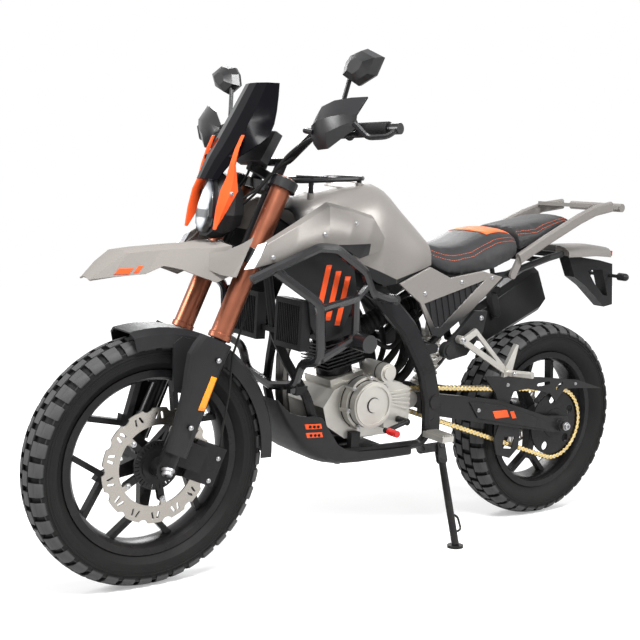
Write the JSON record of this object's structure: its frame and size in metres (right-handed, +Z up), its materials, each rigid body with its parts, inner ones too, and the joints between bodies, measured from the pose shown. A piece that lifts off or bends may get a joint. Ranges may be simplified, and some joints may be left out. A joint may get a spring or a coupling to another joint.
{
  "type": "adventure motorcycle",
  "caption": "Adventure motorcycle leaning on its side stand, with a turning fork and handlebar, turning cast wheels, folding stand, crash bars, beak, screen and rear rack.",
  "frame": {"origin": "on the ground, at the middle of the bounding box", "axes": "+X forward along the machine, +Y to its left, the side it leans to, +Z up"},
  "size_m": [2.0928, 0.897, 1.4106],
  "materials": {
    "dark_paint": "satin",
    "black_cast": "satin",
    "bronze_anodised": "anodised satin",
    "black_plastic": "fine grain",
    "hose_rubber": "matt",
    "silver_paint": "metallic satin",
    "lamp_lens": "clear over white",
    "orange_plastic": "satin",
    "smoked_screen": "smoked gloss",
    "tyre_rubber": "matt",
    "disc_steel": "brushed",
    "cast_alloy": "as cast",
    "seat_cover": "grained",
    "red_lens": "tinted",
    "chain_gold": "gold plated",
    "exhaust_steel": "brushed",
    "silencer_paint": "matt"
  },
  "bodies": {
    "frame": {"main_frame": "dark_paint", "subframe": "dark_paint", "engine_cases": "cast_alloy", "engine_cylinder": "black_cast", "radiators": "black_plastic", "skid_plate": "black_plastic", "fuel_tank": "silver_paint", "tank_rack": "dark_paint", "shrouds": "silver_paint", "shroud_lamps": "lamp_lens", "radiator_panels": "black_plastic", "crash_bars": "dark_paint", "side_panels": "silver_paint", "side_meshes": "black_plastic", "side_brackets": "black_plastic", "rider_seat": "seat_cover", "pillion_seat": "seat_cover", "rear_rack": "silver_paint", "tail_cover": "silver_paint", "plate_holder": "black_plastic", "tail_lamps": "red_lens", "swingarm": "dark_paint", "shock": "cast_alloy", "chain": "chain_gold", "chain_guard": "black_plastic", "exhaust_pipe": "exhaust_steel", "silencer": "silencer_paint", "foot_pegs": "cast_alloy", "foot_levers": "black_cast"},
    "steering": {"triple_clamps": "black_cast", "fork_tubes": "bronze_anodised", "fork_legs": "black_cast", "fork_guards": "black_plastic", "front_fender": "black_plastic", "front_caliper": "black_cast", "brake_hose": "hose_rubber", "beak": "silver_paint", "headlight_shell": "black_plastic", "headlight_lens": "lamp_lens", "light_blades": "orange_plastic", "windscreen": "smoked_screen", "dash": "black_plastic", "handlebar": "black_cast", "hand_guards": "black_plastic", "mirrors": "black_plastic"},
    "front_wheel": {"front_tyre": "tyre_rubber", "front_wheel": "black_cast", "front_disc": "disc_steel"},
    "rear_wheel": {"rear_tyre": "tyre_rubber", "rear_wheel": "black_cast", "rear_disc": "disc_steel", "rear_sprocket": "black_cast"},
    "side_stand": {"side_stand": "black_cast"}
  },
  "joints": [
    {"name": "steering", "type": "hinge", "parent": "frame", "child": "steering", "pos_m": [0.67984, -0.09213, 0.31035], "axis": [-0.3907, 0.0962, 0.9155], "range_deg": [-36, 36]},
    {"name": "front_wheel_spin", "type": "hinge", "parent": "steering", "child": "front_wheel", "pos_m": [0.7185, -0.09042, 0.32667], "axis": [0, 0.9945, -0.1045], "continuous": true},
    {"name": "rear_wheel_spin", "type": "hinge", "parent": "frame", "child": "rear_wheel", "pos_m": [-0.7115, -0.0908, 0.32304], "axis": [0, 0.9945, -0.1045], "continuous": true},
    {"name": "side_stand_fold", "type": "hinge", "parent": "frame", "child": "side_stand", "pos_m": [-0.1945, 0.01799, 0.28665], "axis": [0.1987, 0.9396, 0.2787], "range_deg": [0, 85.6]}
  ]
}
